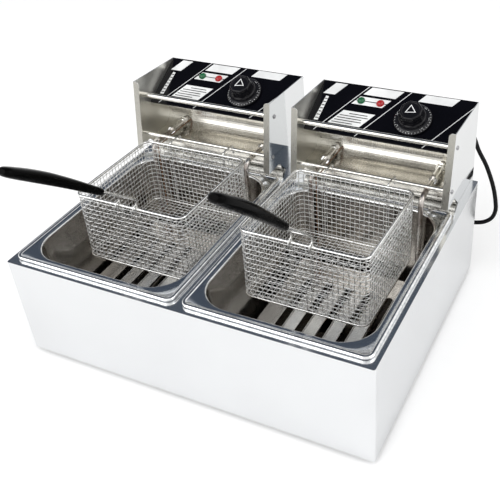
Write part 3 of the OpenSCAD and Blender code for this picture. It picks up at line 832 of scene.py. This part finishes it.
@dataclass
class Tank(Half):
    """A pressed tank with a beaded rim, drawn from its rim inwards and down."""

    width: float = 265.0
    length: float = 325.0
    corner: float = 12.0
    bead: tuple[Pair, ...] = (
        (4.0, 170.1), (4.0, 172.2), (2.4, 172.0), (1.0, 172.3), (0.2, 173.1), (0.0, 174.0), (0.4, 174.9),
        (1.2, 175.45), (2.2, 175.6), (3.3, 175.4), (4.2, 174.9), (4.8, 174.2))
    opening: Triple = (241.0, 301.0, 48.0)
    taper: Triple = (16.0, 14.0, 4.0)
    wall_top: float = 168.0
    lip: tuple[Pair, ...] = ((2.6, 174.2), (1.5, 174.6), (0.4, 174.0), (0.0, 172.6))
    floor_z: float = 28.0
    bend: Pair = (11.0, 13.0)
    corner_steps: int = 14
    sheet: float = 0.0009

    def stations(self) -> tuple[Array, Array]:
        """The wall's sections from the skirt to the floor.

        The bead's points lie inside the rim's edge, and the lip's outside the opening, by their first
        number. The floor's bend turns in by its width x (1 - cos a) at its height x (1 - sin a).

        Returns:
            Rows of (width, length, radius, height), and the finish of the band below each row.
        """
        w, l, r = self.width, self.length, self.corner
        ow, ol, orad = self.opening
        tw, tl, tr = self.taper
        bw, bh = self.bend
        bead = [(w - 2 * k, l - 2 * k, r - k, z) for k, z in self.bead]
        lip = [(ow + 2 * k, ol + 2 * k, orad + k, z) for k, z in self.lip]
        wall = [(ow - 1, ol - 1, orad - 0.5, self.wall_top), (ow - tw, ol - tl, orad - tr, self.floor_z + bh)]
        turned = [(bw * (1 - math.cos(a)), bh * (1 - math.sin(a))) for a in np.linspace(0.2, TAU / 4, 6)]
        bend = [(ow - tw - 2 * k, ol - tl - 2 * k, orad - tr - k, self.floor_z + z) for k, z in turned]
        finish = np.array([1] * (len(bead) + len(lip) - 1) + [2] * (len(wall) + len(bend)))
        # Slot 0, the darker bluish rim steel, is painted reflection on the rim's flat top and painted shade
        # on the skirt and under the bead.
        finish[[0, 1, len(bead) - 1]] = 0
        return np.array(bead + lip + wall + bend), finish

    def make(self) -> None:
        """Builds the tank: each section is a rounded rectangle, joined to the next."""
        rows, finish = self.stations()
        outline = rounded_rectangle(rows[:, 0], rows[:, 1], rows[:, 2], self.corner_steps)
        low, high = (np.array(corner)[:2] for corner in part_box(self.body("tank")))
        points = raised(outline + (low + high) / 2 / MM, rows[:, 3:])
        builder = Builder(self.named("tank_pressing"))
        for k in range(len(rows) - 1):
            builder.grid(points[k:k + 2, ::-1], wrap_v=True, slot=int(finish[k]))
        builder.flat(points[-1], slot=2)
        piece = builder.build([RIM_FLAT_PAINTED_REFLECTION, RIM_BEAD, TANK_WALL], self.body("tank"), 50.0,
                              [self.body("tank")])
        weld(piece)
        wall = piece.modifiers.new("wall", "SOLIDIFY")
        wall.thickness = self.sheet
        wall.offset = -1.0


# ---------------------------------------------------------------- baskets


@dataclass(frozen=True)
class Hang:
    """How a basket hangs: its rear rim's middle, its lean, its hooks' reach and its handle's slope."""

    at: Triple
    lean: float
    reach: float
    rise: float


HANGS = {
    Side.LEFT: Hang((-144, -139, 217.2), 1.5, 36.0, 36.5),
    Side.RIGHT: Hang((131, -138, 219), 2.8, 35.0, 39.5),
}


@dataclass
class Basket(Half):
    """A woven wire basket with its rim, its rear hooks and its handle."""

    width: float = 186.0
    length: float = 182.0
    height: float = 108.0
    corner: float = 12.0
    pitch: float = 7.6
    wire: float = 0.62
    wire_sides: int = 5
    weave: float = 0.5
    rim: float = 2.0
    thin: float = 1.5
    bend: float = 5.0
    hook_x: float = 50.0
    hook_back: float = 3.5
    hook_drop: float = 13.5
    handle_gap: float = 30.0
    handle_z: float = 14.0
    handle_drop: float = 74.0
    rim_hook: tuple[Pair, ...] = ((0.0, -10.0), (-9.0, -8.5), (-9.0, -20.0))
    wire_length: float = 64.0
    grip_length: float = 182.0
    grip_sections: tuple[tuple[float, ...], ...] = (
        (0, 8, 4.4, 0), (0.02, 10, 5.6, 0.2), (0.15, 11, 6.2, 1.2), (0.3, 11.8, 6.9, 2.2),
        (0.45, 12.4, 7.6, 2.8), (0.6, 12.8, 8.1, 3), (0.75, 12.6, 7.9, 2.4), (0.88, 11.9, 7.2, 1.4),
        (0.95, 10.8, 6.4, 0.8), (0.98, 9, 5.2, 0.5), (1, 5.5, 2.8, 0.4))

    @property
    def hang(self) -> Hang:
        """How this basket hangs."""
        return HANGS[self.side]

    @property
    def place(self) -> Matrix:
        """From the basket's own millimetres to the fryer's: hung by the middle of its rear rim."""
        x, y, z = self.hang.at
        lean = Matrix.Rotation(-math.radians(self.hang.lean), 4, "X")
        return Matrix.Translation((x, REAR_Y + y, z)) @ lean

    @property
    def handle_top(self) -> Array:
        """Where the two handle wires bend, in the basket's own millimetres."""
        return np.array([0, -self.length + 2 * self.rim, self.handle_z])

    @property
    def ahead(self) -> Array:
        """The handle's direction."""
        slope = math.radians(self.hang.rise)
        return np.array([0, -math.cos(slope), math.sin(slope)])

    def walls(self, builder: Builder) -> None:
        """Weaves the walls.

        Upright number k leans out at crossing j by weave x cos(pi (j + k)), and ring j leans the other
        way at upright k, so that the two pass each other.

        Args:
            builder: Takes the wires.
        """
        girth = 2 * (self.width + self.length) - 8 * self.corner + TAU * self.corner
        count = 2 * int(round(girth / self.pitch / 2))
        base, normal = evenly(rounded_rectangle(self.width, self.length, self.corner, 6)[0], 2 * count)
        base = base - [0, self.length / 2]
        top, low = -self.rim + 0.5, -self.height + 1.0
        levels = int((top - low) / self.pitch)
        heights = top - (np.arange(2 * levels + 1) / 2 + 0.5) * (top - low) / (levels + 1)
        heights = np.concatenate([[top], heights, [low]])
        crossing = (np.arange(len(heights)) - 1) / 2
        lean = self.weave * np.cos(math.pi * (crossing[None, :] + np.arange(count)[:, None]))
        lean[:, 0] = lean[:, -1] = 0
        uprights = raised(base[::2, None, :] + normal[::2, None, :] * lean[..., None], heights)
        builder.tubes(placed(uprights, self.place), self.wire, self.wire_sides)
        ring = np.arange(levels + 1)
        lean = -self.weave * np.cos(math.pi * (ring[:, None] + np.arange(2 * count)[None, :] / 2))
        rings = raised(base[None] + normal[None] * lean[..., None], heights[1:-1:2, None])
        builder.tubes(placed(rings, self.place), self.wire, self.wire_sides, closed=True)

    def bottom(self, builder: Builder) -> None:
        """Weaves the bottom: two sets of wires whose heights swing against each other.

        Args:
            builder: Takes the wires.
        """
        for across in (0, 1):
            span, other = (self.width, self.length) if across == 0 else (self.length, self.width)
            wires = int(other / self.pitch)
            at = (np.arange(wires) + 0.5 - wires / 2) * self.pitch
            short = np.where(np.abs(at) > other / 2 - self.corner, self.corner * 0.5, 0.0)
            samples = 2 * int(span / self.pitch) + 1
            along = np.linspace(-1, 1, samples)[None, :] * (span / 2 - 0.5 - short)[:, None]
            swing = self.weave * np.cos(math.pi * (np.arange(samples)[None] / 2 + np.arange(wires)[:, None]))
            swing = swing if across == 0 else -swing
            offset = np.broadcast_to(at[:, None], along.shape)
            x, y = (along, offset) if across == 0 else (offset, along)
            lines = np.stack([x, y - self.length / 2, swing - self.height], axis=-1)
            builder.tubes(placed(lines, self.place), self.wire, self.wire_sides)

    def frame_wires(self, builder: Builder) -> None:
        """Bends the rim, the bottom ring and the two rear hooks.

        Args:
            builder: Takes the wires.
        """
        for radius, height in ((self.rim, 0.0), (self.thin, -self.height)):
            loop = rounded_rectangle(self.width, self.length, self.corner, 8) - [0, self.length / 2]
            builder.tubes(placed(raised(loop, height), self.place), radius, 12, closed=True)
        back, reach = self.hook_back, self.hang.reach
        for x in (-self.hook_x, self.hook_x):
            corners = [(x, back, -self.height + 2), (x, back, self.thin), (x, reach, self.thin),
                       (x, reach, -self.hook_drop)]
            builder.tubes(placed(rounded_line(corners, self.bend), self.place), self.thin, 10)

    def handle_wires(self, builder: Builder) -> None:
        """Bends the two handle wires, their hooks over the rim and the wire across.

        Args:
            builder: Takes the wires.
        """
        top = self.handle_top
        half = self.handle_gap / 2
        for s in (-1, 1):
            foot = top + (s * half, 0, 0)
            ahead = (-s * half / 2, 0, 0) + self.ahead * (self.wire_length + 8)
            corners = [(foot[0], foot[1], -self.handle_drop), foot, foot + ahead]
            builder.tubes(placed(rounded_line(corners, self.bend), self.place), self.rim, 12)
            hook = [foot + (0, y, z) for y, z in self.rim_hook]
            builder.tubes(placed(rounded_line(hook, 3.0), self.place), self.thin, 10)
        cross = np.array([top - (half, 0, 0), top + (half, 0, 0)])
        builder.tubes(placed(cross, self.place), self.thin, 10)

    def grip(self, builder: Builder) -> None:
        """Lofts the grip along its axis.

        The sections are joined by a smooth curve through their sizes. Each is a superellipse: its
        sides follow cosine and sine raised to 0.75, and both ends close in small round steps.

        Args:
            builder: Takes the loft.
        """
        rows = catmull(self.grip_sections, 5)
        angle = np.linspace(0, TAU, 32, endpoint=False)
        c, s = (np.sign(wave) * np.abs(wave) ** 0.75 for wave in (np.cos(angle), np.sin(angle)))
        up = np.array([0, self.ahead[2], -self.ahead[1]])
        along = self.ahead * (self.wire_length + rows[:, :1] * self.grip_length)
        middle = self.handle_top + along + up * rows[:, 3:]
        wide = rows[:, 1, None, None] * c[None, :, None] * np.array([1, 0, 0])
        high = rows[:, 2, None, None] * s[None, :, None] * up
        builder.solid(placed(middle[:, None] + (wide + high), self.place)[:, ::-1])

    def make(self) -> None:
        """Builds the basket's pieces, each with its finish, its smoothing and the nodes it replaces."""
        for part, draw, finish, slot, smooth_angle, nodes in (
                ("basket_walls", self.walls, MESH, "basket_wire", 80.0,
                 ("mesh_front", "mesh_rear", "mesh_outer", "mesh_inner")),
                ("basket_bottom", self.bottom, MESH, "basket_wire", 80.0, ("mesh_bottom",)),
                ("basket_wirework", self.frame_wires, WIRE, "basket_wire", 60.0, ("basket_frame",)),
                ("handle_wire", self.handle_wires, WIRE, "basket_wire", 60.0, ("handle_wires",)),
                ("handle_grip", self.grip, GRIP_BLACK, "grip_black", 50.0, ("grip",))):
            builder = Builder(self.named(part))
            draw(builder)
            replaced = [self.named(node) for node in nodes]
            builder.build([finish], self.body("basket"), smooth_angle, replaced)


# ---------------------------------------------------------------- control heads


@dataclass
class Knob(Half):
    """The thermostat knob: a wide dial skirt with numbers and a faceted cap."""

    at: Pair = (39.0, 45.0)
    facets: int = 8
    corner_fill: float = 1.03
    cap: tuple[Triple, ...] = (
        (21.5, 5.2, 0), (21.0, 9.5, 0), (20.0, 11.0, 0), (19.2, 11.6, 0.6), (18.6, 14, 1), (18.0, 20, 1),
        (17.5, 24.0, 1), (16.6, 25.6, 0.8), (15.2, 26.3, 0.4), (13.6, 26.4, 0.2), (12.8, 25.8, 0.1))
    skirt: tuple[Triple, ...] = (
        (21.0, 2.6, 0), (27.6, 2.6, 0), (28.4, 3.0, 0), (28.5, 3.6, 0), (27.9, 4.4, 0), (22.5, 6.4, 0),
        (19.0, 6.6, 0))
    numbers: tuple[str, ...] = ("0", "60", "90", "120", "150", "180", "200")
    dial: Pair = (-235.0, 55.0)
    ticks: int = 30
    tick_half: float = 0.22
    tick_from: Pair = (26.0, 5.2)
    tick_to: Pair = (27.6, 4.62)
    pointer: Pair = (7.2, 9.5)
    pointer_turn: Triple = (100.0, 220.0, 340.0)
    pointer_z: float = 26.45
    number_size: float = 3.6
    number_at: Pair = (24.2, 5.95)
    number_tilt: float = -19.0

    @property
    def place(self) -> Matrix:
        """From the knob's own millimetres to the fryer's."""
        return panel_matrix(self.side) @ Matrix.Translation((*self.at, 0.0))

    def turned(self, builder: Builder, stations: Sequence[Triple], slot: int) -> None:
        """Turns a closed shape about the knob's axis.

        A station is (r, height, share). The radius at angle a is r cos(h) / cos(a folded into one
        facet), h being half a facet's angle, blended by its share with a circle of the same r.

        Args:
            builder: Takes the shape.
            stations: The shape's profile.
            slot: The material slot.
        """
        rows = np.array(stations, float)
        angle = np.linspace(0, TAU, 96, endpoint=False)
        step = TAU / self.facets
        folded = (angle + step / 2) % step - step / 2
        facet = math.cos(step / 2) / np.cos(folded) * self.corner_fill
        radius = rows[:, :1] * (1 + rows[:, 2:] * (facet[None] - 1))
        flat = np.stack([radius * np.cos(angle), radius * np.sin(angle)], -1)
        builder.solid(placed(raised(flat, rows[:, 1:2]), self.place), slot)

    def make(self) -> None:
        """Builds the cap and the skirt, their marks and the numbers."""
        builder = Builder(self.named("knob_cap"))
        self.turned(builder, self.cap, slot=0)
        self.turned(builder, self.skirt, slot=1)
        builder.build([KNOB_BLACK, DIAL_BLACK], self.body("knob"), 35.0, [self.named("knob")])
        self.marks()
        for word, angle in zip(self.numbers, np.radians(np.linspace(*self.dial, len(self.numbers)))):
            self.number(word, float(angle))

    def marks(self) -> None:
        """Prints ticks round the skirt, and a plain triangle on the cap as the pointer."""
        builder = Builder(self.named("knob_marks"))
        angle = np.radians(np.linspace(*self.dial, self.ticks))
        turn = np.stack([np.cos(angle), np.sin(angle)], -1)
        across = np.stack([-turn[:, 1], turn[:, 0]], -1) * self.tick_half
        (inner_r, inner_z), (outer_r, outer_z) = self.tick_from, self.tick_to
        inner, outer = turn * inner_r, turn * outer_r
        ring = np.stack([inner - across, outer - across, outer + across, inner + across], 1)
        for mark in placed(raised(ring, [inner_z, outer_z, outer_z, inner_z]), self.place):
            builder.flat(mark)
        corner = np.radians(self.pointer_turn)
        triangle = np.stack([np.cos(corner), np.sin(corner)], -1)
        band = raised(np.stack([triangle * radius for radius in self.pointer], 0), self.pointer_z)
        builder.grid(placed(band, self.place)[:, ::-1], wrap_v=True)
        builder.build([PRINT_WHITE], self.body("knob"))

    def number(self, word: str, angle: float) -> None:
        """Sets one plain number on the skirt's slope, upright towards the knob's middle.

        Args:
            word: The number.
            angle: Where it stands on the dial, in radians.
        """
        text = bpy.data.curves.new(f"dial_{word}", "FONT")
        text.body = word
        text.size = self.number_size
        text.align_x = "CENTER"
        text.align_y = "CENTER"
        carrier = bpy.data.objects.new("carrier", text)
        mesh = bpy.data.meshes.new_from_object(carrier)
        bpy.data.objects.remove(carrier)
        radius, height = self.number_at
        lift = Matrix.Translation((radius * math.cos(angle), radius * math.sin(angle), height))
        tilt = Matrix.Rotation(math.radians(self.number_tilt), 4, "X")
        turn = Matrix.Rotation(angle + math.pi / 2, 4, "Z") @ tilt
        mesh.transform(Matrix.Scale(MM, 4) @ self.place @ lift @ turn)
        mesh.materials.append(PRINT_WHITE.material())
        piece = stand(self.named(f"dial_number_{word}"), mesh)
        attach(piece, self.body("knob"))


@dataclass
class PanelPrint(Half):
    """The white printing on a control panel: a slanted layout of lines and bare labels.

    A Bar is its start on the panel's front edge, its two heights up the slope, and its width.
    """

    lift: float = 0.06
    black_lift: float = 0.03
    slant: float = 0.745
    line_width: float = 1.3
    line_heights: Pair = (0.6, 94.0)
    line_starts: Triple = (-108.0, -40.0, 66.0)
    head_label: Bar = (-103.0, 77.8, 93.0, 52.0)
    lamp_label: Bar = (-103.0, 58.0, 73.5, 50.0)
    lamp_rule: Bar = (-103.0, 65.0, 66.4, 50.0)
    note_label: Bar = (-101.5, 17.5, 44.0, 52.0)
    knob_label: Bar = (-16.5, 79.5, 93.5, 52.5)
    corner_label: Bar = (-162.8, 69.5, 92.0, 20.0)
    note_rules: tuple[Pair, ...] = ((14.0, 30.0), (3.0, 46.0), (3.0, 40.0), (3.0, 44.0), (3.0, 34.0))
    note_top: float = 38.6
    note_step: float = 4.6
    note_rule: float = 1.4
    scale: tuple[Pair, ...] = ((-114, 18.5), (-107, 18.5), (-105, 64.5), (-110, 65.5))
    scale_marks: int = 7
    scale_low: float = 22.0
    scale_step: float = 6.2
    scale_mark: float = 1.6
    mark_left: Pair = (-113.0, 0.5)
    mark_right: Pair = (-107.4, 0.3)

    def patch(self, builder: Builder, corners: Sequence[Pair], black: bool = False) -> None:
        """Lays a flat printed patch with these corners, counter-clockwise; a black one lies on the white."""
        ring = raised(np.array(corners, float), self.lift + (self.black_lift if black else 0.0))
        builder.flat(placed(ring, panel_matrix(self.side)), int(black))

    def bar(self, builder: Builder, size: Bar, black: bool = False) -> None:
        """Lays a slanted bar: a point moves right by slant for each mm of depth.

        Args:
            builder: Takes the bar.
            size: The bar.
            black: Whether it is printed in black, on the white.
        """
        start, low, high, width = size
        tilt = math.radians(PANEL_TILT)
        ends = ((start, low), (start + width, low), (start + width, high), (start, high))
        self.patch(builder, [(across + self.slant * up * math.cos(tilt), up) for across, up in ends], black)

    def make(self) -> None:
        """Prints lines, bare label fields, the lamp strip and plain rules in place of notes."""
        builder = Builder(self.named("panel_print"))
        for start in self.line_starts:
            self.bar(builder, (start - self.line_width / 2, *self.line_heights, self.line_width))
        for label in (self.head_label, self.lamp_label, self.note_label, self.knob_label, self.corner_label):
            self.bar(builder, label)
        self.bar(builder, self.lamp_rule, black=True)
        for k, (indent, width) in enumerate(self.note_rules):
            low = self.note_top - self.note_step * k
            self.bar(builder, (self.note_label[0] + indent, low, low + self.note_rule, width), black=True)
        self.patch(builder, self.scale)
        for k in range(self.scale_marks):
            low = self.scale_low + self.scale_step * k
            left, right = (start + k * shift for start, shift in (self.mark_left, self.mark_right))
            high = low + self.scale_mark
            self.patch(builder, [(left, low), (right, low), (right, high), (left, high)], black=True)
        builder.build([PRINT_WHITE, PANEL_BLACK], self.body("head"))


@dataclass
class GuardPlate(Half):
    """The slotted plate over the element, with a bright raised lip along both edges of each slot."""

    slots: int = 5
    pitch: float = 32.0
    slot_size: Pair = (11.0, 180.0)
    slot_shift: float = -13.0
    lip_height: float = 1.8

    def lip_faces(self, centres: Array, normals: Array) -> Array:
        """Numbers the plate's faces: 1 for the raised edges, 0 for the rest."""
        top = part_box(self.named("guard_plate"))[1].z / MM
        return centres[:, 2] / MM > top - self.lip_height + 0.1

    def make(self) -> None:
        """Dresses the plate and lays a round lip along the other edge of each slot."""
        node = self.named("guard_plate")
        dress(node, GUARD_STEEL, FITTING_STEEL, pick=self.lip_faces)
        low, high = (np.array(corner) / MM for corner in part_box(node))
        middle = (low + high) / 2
        width, length = self.slot_size
        radius = self.lip_height / 2
        lines = np.zeros((self.slots, 3, 3))
        slots = np.arange(self.slots) - (self.slots - 1) / 2
        lines[..., 0] = (middle[0] + slots * self.pitch + width / 2 + radius)[:, None]
        lines[..., 1] = middle[1] + self.slot_shift + np.array([-length / 2, 0.0, length / 2])
        lines[..., 2] = high[2] - radius
        builder = Builder(self.named("guard_lips"))
        builder.tubes(lines, radius, 10)
        builder.build([FITTING_STEEL], self.body("head"), 60.0)


@dataclass
class Head(Half):
    """A lift-off control head: sheet-metal body, panel, lamps, rods and element."""

    def plate_faces(self, centres: Array, normals: Array) -> Array:
        """Numbers a side plate's faces: 0 outside, 1 towards the head's middle, whose warm tint is painted
        reflection, 2 for the front edge, darkened as painted shade.
        """
        outward = np.sign(centres[:, 0] - self.side.value * HEAD_X * MM) * normals[:, 0]
        return np.where(normals[:, 1] < -0.7, 2, np.where(outward < -0.5, 1, 0))

    def make(self) -> None:
        """Dresses the head's nodes and adds its printing and knob."""
        finishes = {
            "head_shell": HEAD_STEEL, "control_panel": PANEL_BLACK, "lift_bar": BAR_STEEL,
            "basket_rod": BAR_STEEL, "bar_screws": SCREW_STEEL, "thermostat": RESIN,
            "terminal_block": CERAMIC, "green_lamp": GREEN_LENS, "red_lamp": RED_LENS,
            "heating_element": ELEMENT, "element_fittings": FITTING_STEEL, "sensor_bulb": COPPER,
            "cord_gland": CORD_BLACK,
        }
        for node, finish in finishes.items():
            dress(self.named(node), finish)
        dress(self.named("side_plates"), WING_STEEL, WING_INSIDE_PAINTED_REFLECTION, WING_EDGE_PAINTED_SHADE, pick=self.plate_faces)
        GuardPlate(self.side).make()
        PanelPrint(self.side).make()
        Knob(self.side).make()


def dress_housing() -> None:
    """Dresses the housing's nodes."""
    dress("housing_shell", FRONT_STEEL)
    dress("base_plate", BASE_STEEL)
    dress("feet", FOOT_RUBBER)
    dress("centre_channel", INNER_STEEL)


def main() -> None:
    """Builds the fryer's looks in order."""
    logging.basicConfig(level=logging.INFO, format="%(name)s: %(message)s")
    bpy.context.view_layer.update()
    Studio().make()
    MainsCord().make()
    dress_housing()
    for side in Side:
        Tank(side).make()
        Head(side).make()
        Basket(side).make()


if __name__ == "__main__":
    main()
